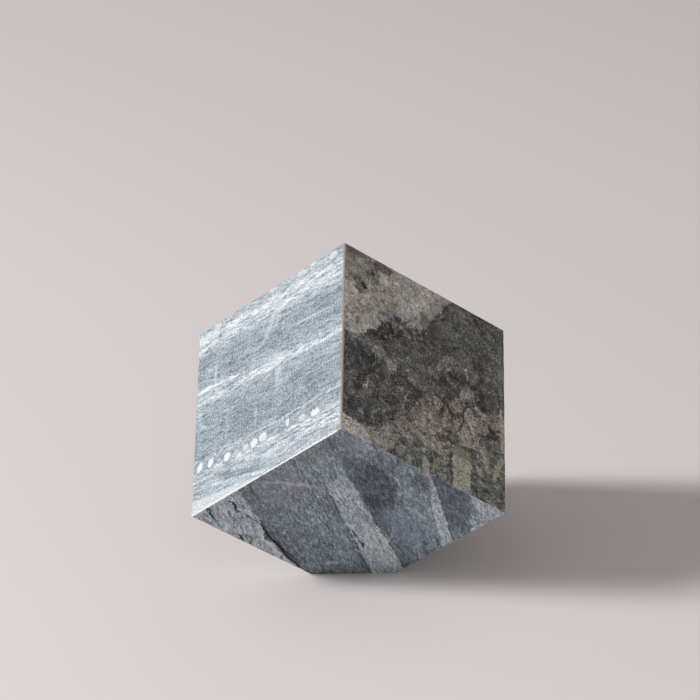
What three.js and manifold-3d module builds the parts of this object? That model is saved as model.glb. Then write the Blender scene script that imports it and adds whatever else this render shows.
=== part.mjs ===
// A decorative block of marble: a sawn cube that stands on one corner. The lowest corner is cut
// off square to the body diagonal, so the cube rests on a small triangle with its opposite corner
// straight above it. Every edge of the cube is eased to a narrow flat (an arris).
//
// Millimetres, +Z up. The origin is the middle of the triangle that the block rests on. +Z runs up
// the body diagonal, and -Y points to the front upper corner, between the two front faces.

import * as THREE from 'three';
import { ConvexGeometry } from 'three/addons/geometries/ConvexGeometry.js';
import { mergeVertices } from 'three/addons/utils/BufferGeometryUtils.js';
import Module from 'manifold-3d';

// Driving dimensions.
const EDGE = 120; // the cube, from sawn face to sawn face
const CORNER_CUT = 34; // length that the cut takes off each of the lowest corner's three edges
const ARRIS_WIDTH = 1.5; // width of the flat along each eased edge

// The finish: honed, pale blue-grey stone.
const STONE_COLOUR = 0x9aa1a6;
const STONE_ROUGHNESS = 0.62;

// Worked out from them.
const ARRIS_SETBACK = ARRIS_WIDTH / Math.SQRT2;
const HALF_DIAGONAL = (EDGE * Math.sqrt(3)) / 2;
const CUT_DEPTH = CORNER_CUT / Math.sqrt(3); // from the sharp corner to the cut, along the diagonal
const EDGE_TO_DIAGONAL = Math.acos(1 / Math.sqrt(3)); // between an edge and the body diagonal

const manifold = await Module();
manifold.setup();

/** A cube about the origin, its edges along the axes, with a narrow flat along every edge. */
function easedCube(edge, setback) {
  const face = edge / 2;
  const rim = face - setback;
  const points = [];
  for (const x of [-1, 1]) {
    for (const y of [-1, 1]) {
      for (const z of [-1, 1]) {
        points.push(new THREE.Vector3(x * face, y * rim, z * rim));
        points.push(new THREE.Vector3(x * rim, y * face, z * rim));
        points.push(new THREE.Vector3(x * rim, y * rim, z * face));
      }
    }
  }
  return new ConvexGeometry(points);
}

/** Turn an axis-aligned cube onto one corner, with its body diagonal along +Z. */
function standOnCorner(geometry) {
  geometry.rotateZ(Math.PI / 4);
  geometry.rotateX(-EDGE_TO_DIAGONAL);
  return geometry;
}

/** A closed geometry as a manifold solid, with the vertices that its faces share merged. */
function toSolid(geometry) {
  const bare = geometry.clone();
  bare.deleteAttribute('normal');
  bare.deleteAttribute('uv');
  const merged = mergeVertices(bare);
  const mesh = new manifold.Mesh({
    numProp: 3,
    vertProperties: new Float32Array(merged.attributes.position.array),
    triVerts: new Uint32Array(merged.index.array),
  });
  return new manifold.Manifold(mesh);
}

/** A manifold solid as a geometry. */
function toGeometry(solid) {
  const mesh = solid.getMesh();
  const geometry = new THREE.BufferGeometry();
  geometry.setAttribute('position', new THREE.BufferAttribute(mesh.vertProperties, 3));
  geometry.setIndex(new THREE.BufferAttribute(mesh.triVerts, 1));
  geometry.computeVertexNormals();
  return geometry;
}

/** The whole block, resting on z = 0: the cube on its corner, less what lies below the cut. */
function blockGeometry() {
  const cube = standOnCorner(easedCube(EDGE, ARRIS_SETBACK));
  cube.translate(0, 0, HALF_DIAGONAL - CUT_DEPTH);
  const belowCut = new THREE.BoxGeometry(2 * EDGE, 2 * EDGE, 2 * EDGE);
  belowCut.translate(0, 0, -EDGE);
  return toGeometry(toSolid(cube).subtract(toSolid(belowCut)));
}

const marble = new THREE.MeshStandardMaterial({
  color: STONE_COLOUR,
  roughness: STONE_ROUGHNESS,
  metalness: 0,
});

const block = new THREE.Mesh(blockGeometry(), marble);
block.name = 'marble_block';

const group = new THREE.Group();
group.add(block);

export default group;
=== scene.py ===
"""A marble block: a sawn cube of banded grey marble that stands on one cut corner.

The block is one stone, so it is one piece. It is built in the stone's own axes and then turned into
the frame. The origin of those axes is the front upper corner, where the left, the right and the
front under face meet. X runs along the lower edge of the right face, Y along the lower edge of the
left face, and Z up the front edge. Patterns and flaws are placed in these axes, in millimetres.
"""

import logging
import math
from dataclasses import dataclass, replace
from enum import Enum
from typing import Any, Sequence, Union

import bmesh
import bpy
import numpy as np
from mathutils import Matrix, Vector, kdtree


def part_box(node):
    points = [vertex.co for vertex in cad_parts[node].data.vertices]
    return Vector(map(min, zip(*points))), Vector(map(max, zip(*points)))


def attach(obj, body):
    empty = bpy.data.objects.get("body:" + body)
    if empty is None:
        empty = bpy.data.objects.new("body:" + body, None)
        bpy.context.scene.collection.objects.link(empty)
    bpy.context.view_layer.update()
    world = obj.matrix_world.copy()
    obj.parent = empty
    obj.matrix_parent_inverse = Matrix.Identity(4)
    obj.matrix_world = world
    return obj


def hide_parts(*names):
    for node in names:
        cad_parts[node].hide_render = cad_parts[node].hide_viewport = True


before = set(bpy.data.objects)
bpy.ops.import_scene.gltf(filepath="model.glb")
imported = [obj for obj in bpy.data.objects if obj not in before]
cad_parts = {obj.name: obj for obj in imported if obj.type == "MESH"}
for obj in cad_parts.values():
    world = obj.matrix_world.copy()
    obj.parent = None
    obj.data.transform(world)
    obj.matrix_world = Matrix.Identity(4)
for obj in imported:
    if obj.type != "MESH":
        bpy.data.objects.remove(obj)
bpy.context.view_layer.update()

log = logging.getLogger("marble_block")

MM = 0.001  # metres in a millimetre, the unit that patterns, flaws and wear are given in
NODE = "marble_block"
ARRIS_WIDTH = 1.5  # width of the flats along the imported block's edges, in millimetres

Knots = tuple[tuple[float, float], ...]  # points of a drawn curve
Palette = tuple[tuple[float, str], ...]  # tones, from 0 to 1, and their sRGB colours


def linear(hex_colour: str) -> tuple[float, float, float, float]:
    """Turns an sRGB hex colour into linear red, green, blue and alpha.

    Args:
        hex_colour: Six hex digits after a hash, such as "#9aa1a6".

    Returns:
        The linear colour, with alpha 1.
    """
    channels = [int(hex_colour[i : i + 2], 16) / 255 for i in (1, 3, 5)]
    straight = [c / 12.92 if c <= 0.04045 else ((c + 0.055) / 1.055) ** 2.4 for c in channels]
    return (*straight, 1.0)


class Field:
    """A value that varies over the stone: one output of a node, on which arithmetic adds nodes."""

    def __init__(self, graph: "Graph", socket: bpy.types.NodeSocket) -> None:
        """Holds the socket and the graph that it belongs to."""
        self.graph = graph
        self.socket = socket

    def __add__(self, other: "Given") -> "Field":
        """Sum of two fields."""
        return self.graph.add("ShaderNodeMath", self, other, operation="ADD")

    def __sub__(self, other: "Given") -> "Field":
        """Difference of two fields."""
        return self.graph.add("ShaderNodeMath", self, other, operation="SUBTRACT")

    def __rsub__(self, other: "Given") -> "Field":
        """Difference of a number and a field."""
        return self.graph.add("ShaderNodeMath", other, self, operation="SUBTRACT")

    def __mul__(self, other: "Given") -> "Field":
        """Product of two fields."""
        return self.graph.add("ShaderNodeMath", self, other, operation="MULTIPLY")

    def __truediv__(self, other: "Given") -> "Field":
        """Quotient of two fields."""
        return self.graph.add("ShaderNodeMath", self, other, operation="DIVIDE")

    def __abs__(self) -> "Field":
        """Size of a field, without its sign."""
        return self.graph.add("ShaderNodeMath", self, operation="ABSOLUTE")

    def at_most(self, other: "Given") -> "Field":
        """The smaller of two fields."""
        return self.graph.add("ShaderNodeMath", self, other, operation="MINIMUM")

    def at_least(self, other: "Given") -> "Field":
        """The larger of two fields."""
        return self.graph.add("ShaderNodeMath", self, other, operation="MAXIMUM")

    def axes(self) -> list["Field"]:
        """The three coordinates of a vector."""
        return [self.graph.add("ShaderNodeSeparateXYZ", self, out=axis) for axis in range(3)]

    __radd__ = __add__
    __rmul__ = __mul__


Given = Union[Field, float, int, str, Sequence[float], bpy.types.ID, None]


class Graph:
    """A node tree that is being drawn."""

    def __init__(self, tree: bpy.types.NodeTree) -> None:
        """Starts on a tree."""
        self.tree = tree

    def add(self, kind: str, *inputs: Given, out: int = 0, **settings: Any) -> Field:
        """Adds a node with its settings and links.

        Args:
            kind: The node's type name.
            inputs: What goes into its inputs, in order: a field to link, a value, or None to skip.
            out: Which of its outputs to return.
            settings: The node's properties.

        Returns:
            That output as a field. The field is empty where the node has no outputs.
        """
        node = self.tree.nodes.new(kind)
        for name, value in settings.items():
            setattr(node, name, value)
        used = [socket for socket in node.inputs if socket.enabled]
        for socket, given in zip(used, inputs):
            if isinstance(given, Field):
                self.tree.links.new(given.socket, socket)
            elif given is not None:
                socket.default_value = given
        outputs = [socket for socket in node.outputs if socket.enabled]
        return Field(self, outputs[out] if outputs else None)


@dataclass(frozen=True)
class BlockSize:
    """The block's driving sizes, in metres.

    Attributes:
        edge: The cube, from sawn face to sawn face.
        corner_cut: What the cut takes off each edge at the lowest corner.
    """

    edge: float
    corner_cut: float

    @classmethod
    def from_box(cls, low: Vector, high: Vector, arris_width: float) -> "BlockSize":
        """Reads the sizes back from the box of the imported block.

        Args:
            low: The box's lowest corner.
            high: The box's highest corner.
            arris_width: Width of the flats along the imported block's edges, in metres.

        Returns:
            The sizes of the cube before its edges were eased.
        """
        setback = arris_width / math.sqrt(2)
        edge = (high.x - low.x) / math.sqrt(2) + setback
        return cls(edge, 3 * edge - 2 * setback - math.sqrt(3) * (high.z - low.z))

    def to_frame(self) -> Matrix:
        """Works out how the stone's own axes lie in the frame.

        Returns:
            The turn and shift that take the stone's axes to the frame.
        """
        x_axis = Vector((math.sqrt(1 / 2), math.sqrt(1 / 6), -math.sqrt(1 / 3)))
        y_axis = Vector((-math.sqrt(1 / 2), math.sqrt(1 / 6), -math.sqrt(1 / 3)))
        z_axis = Vector((0, math.sqrt(2 / 3), math.sqrt(1 / 3)))
        height = (2 * self.edge - self.corner_cut) / math.sqrt(3)
        corner = Vector((0, -self.edge * math.sqrt(2 / 3), height))
        turn = Matrix((x_axis, y_axis, z_axis)).transposed().to_4x4()
        return Matrix.Translation(corner) @ turn


class Side(Enum):
    """The block's faces, each with its outward direction in the stone's axes."""

    LEFT = (-1, 0, 0)
    RIGHT = (0, -1, 0)
    FRONT_UNDER = (0, 0, -1)
    RIGHT_UNDER = (1, 0, 0)
    LEFT_UNDER = (0, 1, 0)
    BACK_TOP = (0, 0, 1)
    FOOT = (1, 1, -1)

    @property
    def number(self) -> int:
        """Its place in the list of sides."""
        return list(Side).index(self)

    @property
    def outward(self) -> Vector:
        """Its outward direction, of length 1."""
        return Vector(self.value).normalized()

    def spread(self, place: Vector) -> tuple[float, float]:
        """Flattens a place onto this side.

        Args:
            place: A point in the stone's axes.

        Returns:
            Its two coordinates along the side.
        """
        if self is Side.FOOT:
            return (place.x - place.y) / math.sqrt(2), place.z * math.sqrt(3 / 2)
        across = [place[axis] for axis in range(3) if not self.value[axis]]
        return across[0], across[1]

    def lift(self, place: tuple[float, float], edge: float) -> Vector:
        """The point of this side that has these two coordinates.

        Args:
            place: Two coordinates along the side.
            edge: The cube's edge, in the same unit.

        Returns:
            The point in the stone's axes.
        """
        rest = iter(place)
        return Vector([edge * max(way, 0) if way else next(rest) for way in self.value])


@dataclass(frozen=True)
class Flaw:
    """A crack or, with one point, a pit in a face. All sizes are in millimetres.

    Attributes:
        side: The face that it is in.
        points: Places on that face that it passes, along the face's two stone axes.
        reach: Half of its width at the mouth.
        depth: How deep it goes.
    """

    side: Side
    points: tuple[tuple[float, float], ...]
    reach: float
    depth: float


FLAWS = (
    # The long open fissure between the pale rough corner and the dark slate, and its branches.
    Flaw(
        Side.FRONT_UNDER,
        ((31, 99.5), (36, 103), (41, 106.5), (52, 110), (64, 115), (80, 119.5)),
        1.9,
        1.8,
    ),
    Flaw(Side.FRONT_UNDER, ((41, 103), (52, 106.5), (66, 112), (76, 116)), 0.8, 0.9),
    Flaw(Side.FRONT_UNDER, ((4, 94.5), (7, 93.5), (10, 96), (13, 99), (16, 98)), 1.1, 1.1),
    Flaw(Side.FRONT_UNDER, ((17, 98.5), (22, 97.5), (31, 99.5)), 0.7, 0.7),
    # Short cracks beside it and along the pale beds.
    Flaw(Side.FRONT_UNDER, ((1, 106), (4, 108.5), (8, 111), (13, 113)), 0.9, 1.0),
    Flaw(Side.FRONT_UNDER, ((30, 116), (34, 117.8), (38, 119.5)), 1.1, 1.2),
    Flaw(Side.FRONT_UNDER, ((0, 73.5), (5, 76), (9, 80)), 0.5, 0.5),
    Flaw(Side.FRONT_UNDER, ((57, 75), (60, 76.5), (63, 77.5)), 0.7, 0.6),
    Flaw(Side.FRONT_UNDER, ((72, 70), (76, 72), (80, 73.5)), 0.8, 0.8),
    Flaw(Side.FRONT_UNDER, ((82, 75), (86, 76.5), (90, 80)), 1.0, 1.0),
    Flaw(Side.FRONT_UNDER, ((110, 44), (114, 47), (119, 50)), 0.5, 0.5),
    # Shallow pits, here and in the rusty places of the right face.
    Flaw(Side.FRONT_UNDER, ((45, 97),), 1.2, 0.4),
    Flaw(Side.RIGHT, ((21, 109.5),), 2.0, 0.7),
    Flaw(Side.RIGHT, ((15, 98.5),), 2.2, 0.7),
    Flaw(Side.RIGHT, ((36, 78),), 2.4, 0.6),
    Flaw(Side.RIGHT, ((41, 81),), 1.6, 0.6),
    Flaw(Side.RIGHT, ((28, 71),), 1.8, 0.6),
)


class FlawMap:
    """All the flaws as a string of points, each with the reach and depth of its flaw."""

    STEP = 0.4  # millimetres between points
    SWAY = 0.35  # how far a crack wanders, in millimetres
    SEED = 11

    def __init__(self, flaws: Sequence[Flaw], edge: float) -> None:
        """Lays the flaws on a cube.

        Args:
            flaws: The cracks and pits.
            edge: The cube's edge, in metres.
        """
        chance = np.random.default_rng(self.SEED)
        self.places: list[Vector] = []
        self.reaches: list[float] = []
        self.depths: list[float] = []
        for flaw in flaws:
            path = np.array(flaw.points, float)
            lengths = np.concatenate(([0], np.cumsum(np.hypot(*np.diff(path, axis=0).T))))
            steps = np.linspace(0, lengths[-1], int(lengths[-1] / self.STEP) + 1)
            along = np.column_stack([np.interp(steps, lengths, path[:, axis]) for axis in (0, 1)])
            # A crack wanders between its ends, and it is thinner towards them.
            wander = np.cumsum(chance.normal(0, self.SWAY, along.shape) * 0.5, axis=0)
            wander -= np.linspace(wander[0], wander[-1], len(wander))
            share = steps / max(lengths[-1], self.STEP)
            taper = np.sin(np.pi * (0.08 + 0.84 * share)) ** 0.6 if len(flaw.points) > 1 else [1.0]
            for spot, thin in zip(along + wander, taper):
                self.places.append(flaw.side.lift(tuple(spot * MM), edge))
                self.reaches.append(flaw.reach * thin * MM)
                self.depths.append(flaw.depth * thin * MM)

    def as_object(self) -> bpy.types.Object:
        """Makes the points into an object that the node tree can read.

        Returns:
            An object of bare points with reach and depth attributes.
        """
        mesh = bpy.data.meshes.new("flaw_points")
        mesh.from_pydata(self.places, [], [])
        for name, values in (("reach", self.reaches), ("depth", self.depths)):
            mesh.attributes.new(name, "FLOAT", "POINT").data.foreach_set("value", values)
        points = bpy.data.objects.new("flaw_points", mesh)
        bpy.context.scene.collection.objects.link(points)
        return points

    def tree(self) -> kdtree.KDTree:
        """Sorts the points for a quick search.

        Returns:
            The points as a search tree.
        """
        search = kdtree.KDTree(len(self.places))
        for number, place in enumerate(self.places):
            search.insert(place, number)
        search.balance()
        return search


class Weathering:
    """Shapes a sharp, finely divided cube into a worn stone: eased edges, chips, relief and flaws."""

    def __init__(self, materials: dict[Side, bpy.types.Material]) -> None:
        """Draws the node tree.

        Args:
            materials: The finish of each side.
        """
        self.tree = bpy.data.node_groups.new("weathering", "GeometryNodeTree")
        self.graph = Graph(self.tree)
        for name, kind in (
            ("Blank", "NodeSocketGeometry"),
            ("Flaws", "NodeSocketObject"),
            ("Edge", "NodeSocketFloat"),
            ("Chip Spacing", "NodeSocketFloat"),
            ("Chip Size", "NodeSocketFloat"),
            ("Chip Depth", "NodeSocketFloat"),
            ("Relief", "NodeSocketFloat"),
            ("Seed", "NodeSocketInt"),
        ):
            self.tree.interface.new_socket(name, in_out="INPUT", socket_type=kind)
        self.tree.interface.new_socket("Stone", in_out="OUTPUT", socket_type="NodeSocketGeometry")
        self.given = self.tree.nodes.new("NodeGroupInput")
        self.place = self.graph.add("GeometryNodeInputPosition")
        self.half = self.input("Edge") * 0.5
        shaped = self.eased(self.marked(self.input("Blank")))
        shaped = self.worn(shaped)
        shaped = self.graph.add("GeometryNodeRealizeInstances", shaped)
        side = self.graph.add("GeometryNodeInputNamedAttribute", "side", data_type="INT")
        for which, material in materials.items():
            chosen = self.graph.add(
                "FunctionNodeCompare", side, which.number, data_type="INT", operation="EQUAL"
            )
            shaped = self.graph.add("GeometryNodeSetMaterial", shaped, chosen, material)
        ending = self.tree.nodes.new("NodeGroupOutput")
        self.tree.links.new(shaped.socket, ending.inputs[0])

    def input(self, name: str) -> Field:
        """One of the group's named inputs."""
        return Field(self.graph, self.given.outputs[name])

    def marked(self, blank: Field) -> Field:
        """Notes on each point how far it is from the nearest edge, in millimetres.

        Args:
            blank: The cube's mesh.

        Returns:
            The mesh with an "arris" attribute.
        """
        x, y, z = [abs(part - self.half) for part in self.place.axes()]
        middle = x.at_most(y).at_least(x.at_least(y).at_most(z))
        away = (self.half - middle) / MM
        return self.graph.add(
            "GeometryNodeStoreNamedAttribute", blank, None, "arris", away, data_type="FLOAT", domain="POINT"
        )

    def eased(self, blank: Field) -> Field:
        """Rounds the edges to the radius that each point names, with small irregularities.

        Args:
            blank: The cube's mesh.

        Returns:
            The mesh with eased edges.
        """
        radius = self.graph.add("GeometryNodeInputNamedAttribute", "radius", data_type="FLOAT")
        # The radius sways by about a third, over 9 mm, as edges eased by hand do.
        wobble = self.graph.add(
            "ShaderNodeTexNoise", self.place, self.input("Seed"), 1 / (9 * MM), 3.0, noise_dimensions="4D"
        )
        radius = radius * (0.35 + 1.3 * wobble)
        limit = self.half - radius
        kept = [(part - self.half).at_least(0 - limit).at_most(limit) for part in self.place.axes()]
        inner = self.graph.add("ShaderNodeCombineXYZ", *[part + self.half for part in kept])
        over = self.graph.add("ShaderNodeVectorMath", self.place, inner, operation="SUBTRACT")
        over = self.graph.add("ShaderNodeVectorMath", over, operation="NORMALIZE")
        over = self.graph.add("ShaderNodeVectorMath", over, radius, operation="SCALE")
        moved = self.graph.add("ShaderNodeVectorMath", inner, over, operation="ADD")
        return self.graph.add("GeometryNodeSetPosition", blank, None, moved)

    def worn(self, stone: Field) -> Field:
        """Takes chips off the edges, cuts the flaws and gives the faces their relief.

        Args:
            stone: The mesh with eased edges.

        Returns:
            The mesh, with a "hollow" attribute that is 1 in the middle of a flaw and a "chip" attribute
            that is 1 in the deepest chips.
        """
        add = self.graph.add
        seed = self.input("Seed")
        # Borders of chips and cracks are torn by up to 0.8 mm, over 2.5 mm.
        rough = add(
            "ShaderNodeTexNoise", self.place, seed, 1 / (2.5 * MM), 3.0, noise_dimensions="4D", out=1
        )
        rough = add("ShaderNodeVectorMath", rough, (0.5, 0.5, 0.5), operation="SUBTRACT")
        rough = add("ShaderNodeVectorMath", rough, 1.6 * MM, operation="SCALE")
        uneven = add("ShaderNodeVectorMath", self.place, rough, operation="ADD")

        scale = add("ShaderNodeMath", 1.0, self.input("Chip Spacing"), operation="DIVIDE")
        reach = add("ShaderNodeTexVoronoi", uneven, seed, scale, voronoi_dimensions="4D")
        chance = add("ShaderNodeTexVoronoi", uneven, seed, scale, voronoi_dimensions="4D", out=1)
        chance = add("ShaderNodeSeparateXYZ", chance)
        size = self.input("Chip Size") * chance
        bite = (size - reach * self.input("Chip Spacing")).at_least(0.0)
        away = add("GeometryNodeInputNamedAttribute", "arris", data_type="FLOAT")
        near = add("ShaderNodeMapRange", away, 3.0, 0.6, 0.0, 1.0, interpolation_type="SMOOTHSTEP")
        chip = bite.at_most(self.input("Chip Depth")) * near

        flaws = add("GeometryNodeObjectInfo", self.input("Flaws"), out=4)
        nearest = add("GeometryNodeSampleNearest", flaws, uneven, domain="POINT")
        spot = add("GeometryNodeSampleIndex", flaws, self.place, nearest, data_type="FLOAT_VECTOR")
        found = {
            name: add(
                "GeometryNodeSampleIndex",
                flaws,
                add("GeometryNodeInputNamedAttribute", name, data_type="FLOAT"),
                nearest,
                data_type="FLOAT",
            )
            for name in ("reach", "depth")
        }
        gap = add("ShaderNodeVectorMath", uneven, spot, operation="DISTANCE")
        share = gap / found["reach"]
        inside = add("ShaderNodeMapRange", share, 1.0, 0.0, 0.0, 1.0, interpolation_type="SMOOTHSTEP")
        flaw = inside * found["depth"]

        # The faces stand a little proud along the beds: ridges 1.8 mm apart and nine times as long.
        x, y, z = self.place.axes()
        bedded = add("ShaderNodeCombineXYZ", x / 9.0, y - 0.5 * x, z / 9.0)
        relief = add("ShaderNodeTexNoise", bedded, seed, 1 / (1.8 * MM), 3.0, noise_dimensions="4D")
        weight = add("GeometryNodeInputNamedAttribute", "relief", data_type="FLOAT")
        rise = (relief - 0.5) * self.input("Relief") * weight * 2.0

        outward = add("GeometryNodeInputNormal")
        shift = add("ShaderNodeVectorMath", outward, rise - chip - flaw, operation="SCALE")
        for name, value in (("hollow", inside), ("chip", chip / self.input("Chip Depth"))):
            stone = add(
                "GeometryNodeStoreNamedAttribute",
                stone,
                None,
                name,
                value,
                data_type="FLOAT",
                domain="POINT",
            )
        return add("GeometryNodeSetPosition", stone, None, None, shift)


@dataclass(frozen=True)
class Lump:
    """A lump or smear of another colour in the stone, roughly oval, in millimetres on its face.

    Attributes:
        place: Its middle.
        size: Half of its length and half of its width.
        turn: How far its length is turned from the face's first axis, in degrees.
        cover: How much of what lies under it it hides, from 0 to 1.
        colour: Its sRGB colour, where the face is painted in colours.
    """

    place: tuple[float, float]
    size: tuple[float, float]
    turn: float = 0.0
    cover: float = 1.0
    colour: str = "#ffffff"


@dataclass(frozen=True)
class Bed:
    """A straight bed of another tone across a face, in millimetres.

    Attributes:
        start: The heights of its lower and upper border where the face begins.
        end: The same where the face ends.
        tone: Its tone, from 0, dark, to 1, white.
        soft: How far it fades at its borders.
        reach: Where along the face it fades in, and where it fades out.
    """

    start: tuple[float, float]
    end: tuple[float, float]
    tone: float
    soft: float = 1.0
    reach: tuple[float, float] = (-200.0, 400.0)


class Stone:
    """A node tree that draws stone, and the marks that can be laid on it. Places are in millimetres."""

    FADE = 8  # half of the length over which a bed fades in or out, in millimetres

    def __init__(self, tree: bpy.types.NodeTree, edge: float) -> None:
        """Starts on a tree.

        Args:
            tree: The tree to draw in.
            edge: The block's edge, in millimetres.
        """
        self.add = Graph(tree).add
        self.edge = edge

    def read_at(self, point: Field) -> None:
        """Takes the places at which the stone is drawn, in the stone's own axes."""
        self.point = point
        self.x, self.y, self.z = point.axes()

    def noted(self, name: str) -> Field:
        """What the mesh notes at each point under this name."""
        return self.add("ShaderNodeAttribute", attribute_name=name, out=2)

    def on_face(self, along: Given, up: Given) -> Field:
        """The place in a face's own plane, for marks that lie flat in it."""
        return self.add("ShaderNodeCombineXYZ", along, up, 0)

    def drawn_out(self, length: float, layer: Field) -> Field:
        """Places for a pattern that is this many times longer along the layers than across them."""
        return self.add("ShaderNodeCombineXYZ", self.x / length, self.y / length, layer)

    def uneven(
        self, at: Field, grain: float, detail: float = 2.0, seed: float = 0.0, out: int = 0
    ) -> Field:
        """A value that wanders about 0, by about a third each way.

        Args:
            at: Where it is read, in millimetres.
            grain: The size of its largest patches, in millimetres.
            detail: How many finer layers it has.
            seed: Moves it to another part of the pattern.
            out: 1 for three values at once.

        Returns:
            The value as a field.
        """
        place = self.add("ShaderNodeVectorMath", at, (seed * 31.7,) * 3, operation="ADD")
        wander = self.add("ShaderNodeTexNoise", place, 1 / grain, detail, 0.55, 2.1, out=out)
        if out:
            return self.add("ShaderNodeVectorMath", wander, (0.5, 0.5, 0.5), operation="SUBTRACT")
        return wander - 0.5

    def bent(self, at: Field, grain: float, reach: float, seed: float = 0.0) -> Field:
        """Pushes places about, so that what is drawn there gets bent borders.

        Args:
            at: The places, in millimetres.
            grain: The size of the patches that move together, in millimetres.
            reach: Three times the farthest that they move, in millimetres.
            seed: Moves the patches to other places.

        Returns:
            The places after the push.
        """
        push = self.uneven(at, grain, 2.0, seed, 1)
        push = self.add("ShaderNodeVectorMath", push, reach, operation="SCALE")
        return self.add("ShaderNodeVectorMath", at, push, operation="ADD")

    def fragments(self, at: Field, grain: float) -> Field:
        """A value about 0, by up to a half each way, for each broken piece of a size in millimetres."""
        colours = self.add("ShaderNodeTexVoronoi", at, 1 / grain, out=1)
        return self.add("ShaderNodeSeparateColor", colours) - 0.5

    def seams(self, at: Field, grain: float, width: float) -> Field:
        """1 on the joints between broken pieces of a size, in millimetres, and 0 inside them."""
        away = self.add("ShaderNodeTexVoronoi", at, 1 / grain, feature="DISTANCE_TO_EDGE")
        return self.between(away, width / grain, 0.0)

    def needles(
        self, at: Field, turn: float, size: tuple[float, float], share: float, seed: float
    ) -> Field:
        """Scattered splinters.

        Args:
            at: Where they are read on the face, in millimetres.
            turn: How far their length is turned from the face's first axis, in degrees.
            size: Their length and width, in millimetres.
            share: How much of the face they take: 0 for a few, 0.1 for many.
            seed: Moves them to other places.

        Returns:
            1 in the splinters and 0 outside them.
        """
        scale = (1 / size[0], 1 / size[1], 1.0)
        turned = self.add("ShaderNodeVectorRotate", at, None, math.radians(-turn), rotation_type="Z_AXIS")
        laid = self.add("ShaderNodeVectorMath", turned, scale, operation="MULTIPLY")
        return self.between(self.uneven(laid, 1.6, 1.0, seed), 0.19 - share, 0.25 - share)

    def between(self, value: Given, low: Given, high: Given) -> Field:
        """0 where a value is at low, 1 where it is at high, and smooth in between."""
        return self.add("ShaderNodeMapRange", value, low, high, 0.0, 1.0, interpolation_type="SMOOTHSTEP")

    def drawn(self, value: Field, span: float, top: float, points: Knots) -> Field:
        """A drawn curve.

        Args:
            value: What the curve is read at.
            span: The largest value that it is drawn for.
            top: The largest height that it may have.
            points: Its points, as value and height.

        Returns:
            The height as a field.
        """
        curve = self.add("ShaderNodeFloatCurve", 1.0, value / span)
        mapping = curve.socket.node.mapping
        line = mapping.curves[0]
        for _ in points[2:]:
            line.points.new(0.5, 0.5)
        for knot, (where, height) in zip(line.points, points):
            knot.location = (where / span, height / top)
            knot.handle_type = "AUTO_CLAMPED"
        mapping.update()
        return curve * top

    def lump(self, at: Field, lump: Lump, soft: float = 0.25) -> Field:
        """Draws one lump.

        Args:
            at: Where it is read on the face, in millimetres.
            lump: The lump.
            soft: How soft its rim is, from 0, cut off, to 1, faded from its middle.

        Returns:
            Its cover inside it and 0 outside it.
        """
        near = self.add(
            "ShaderNodeTexGradient",
            self.add(
                "ShaderNodeMapping",
                at,
                (*lump.place, 0.0),
                (0.0, 0.0, math.radians(lump.turn)),
                (2 * lump.size[0], 2 * lump.size[1], 1000.0),
                vector_type="TEXTURE",
            ),
            out=1,
            gradient_type="SPHERICAL",
        )
        return self.between(near, 0.5 - soft / 2, 0.5 + soft / 2) * lump.cover

    def lumps(self, at: Field, lumps: Sequence[Lump], soft: float = 0.25) -> Field:
        """Draws lumps that may overlap without covering more.

        Args:
            at: Where they are read on the face, in millimetres.
            lumps: The lumps.
            soft: How soft their rims are.

        Returns:
            The largest cover of any of them.
        """
        cover = self.lump(at, lumps[0], soft)
        for lump in lumps[1:]:
            cover = cover.at_least(self.lump(at, lump, soft))
        return cover

    def strewn(self, colour: Field, at: Field, lumps: Sequence[Lump], soft: float = 0.25) -> Field:
        """Lays lumps over a colour, one after the other.

        Args:
            colour: The colour below.
            at: Where the lumps are read on the face, in millimetres.
            lumps: The lumps, each with its colour.
            soft: How soft their rims are.

        Returns:
            The colour with the lumps in it.
        """
        for lump in lumps:
            colour = self.over(colour, linear(lump.colour), self.lump(at, lump, soft))
        return colour

    def bed(self, along: Field, up: Field, bed: Bed) -> Field:
        """Draws one bed.

        Args:
            along: How far along the face a point is.
            up: How far up the face it is.
            bed: The bed.

        Returns:
            1 inside it and 0 outside it.
        """
        low = along * ((bed.end[0] - bed.start[0]) / self.edge) + bed.start[0]
        high = along * ((bed.end[1] - bed.start[1]) / self.edge) + bed.start[1]
        inside = self.between(up - low, -bed.soft, bed.soft) * self.between(high - up, -bed.soft, bed.soft)
        first, last = bed.reach
        if first > 0:
            inside = inside * self.between(along, first - self.FADE, first + self.FADE)
        if last < self.edge:
            inside = inside * self.between(along, last + self.FADE, last - self.FADE)
        return inside

    def bedded(self, tone: Field, along: Field, up: Field, beds: Sequence[Bed], cover: float) -> Field:
        """Lays beds over a tone, one after the other.

        Args:
            tone: The tone below.
            along: How far along the face a point is.
            up: How far up the face it is.
            beds: The beds.
            cover: How much of the tone below they hide.

        Returns:
            The tone with the beds in it.
        """
        for bed in beds:
            tone = self.add("ShaderNodeMix", self.bed(along, up, bed) * cover, tone, bed.tone)
        return tone

    def line(self, away: Field, width: float) -> Field:
        """1 on a thin line and 0 off it, given the distance from it."""
        return self.between(abs(away), width, width * 0.3)

    def tinted(self, tone: Field, palette: Palette) -> Field:
        """Turns a tone into a colour.

        Args:
            tone: The tone, from 0 to 1.
            palette: The colours of some tones, the darkest first.

        Returns:
            The colour.
        """
        ramp = self.add("ShaderNodeValToRGB", tone)
        elements = ramp.socket.node.color_ramp.elements
        for _ in palette[2:]:
            elements.new(0.5)
        for element, (where, colour) in zip(elements, palette):
            element.position = where
            element.color = linear(colour)
        return ramp

    def stuff(self, group: bpy.types.NodeTree, along: Field, up: Field) -> Field:
        """A finish's colour, drawn with these distances along and up the face."""
        return self.add("ShaderNodeGroup", self.point, along, up, node_tree=group)

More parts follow.
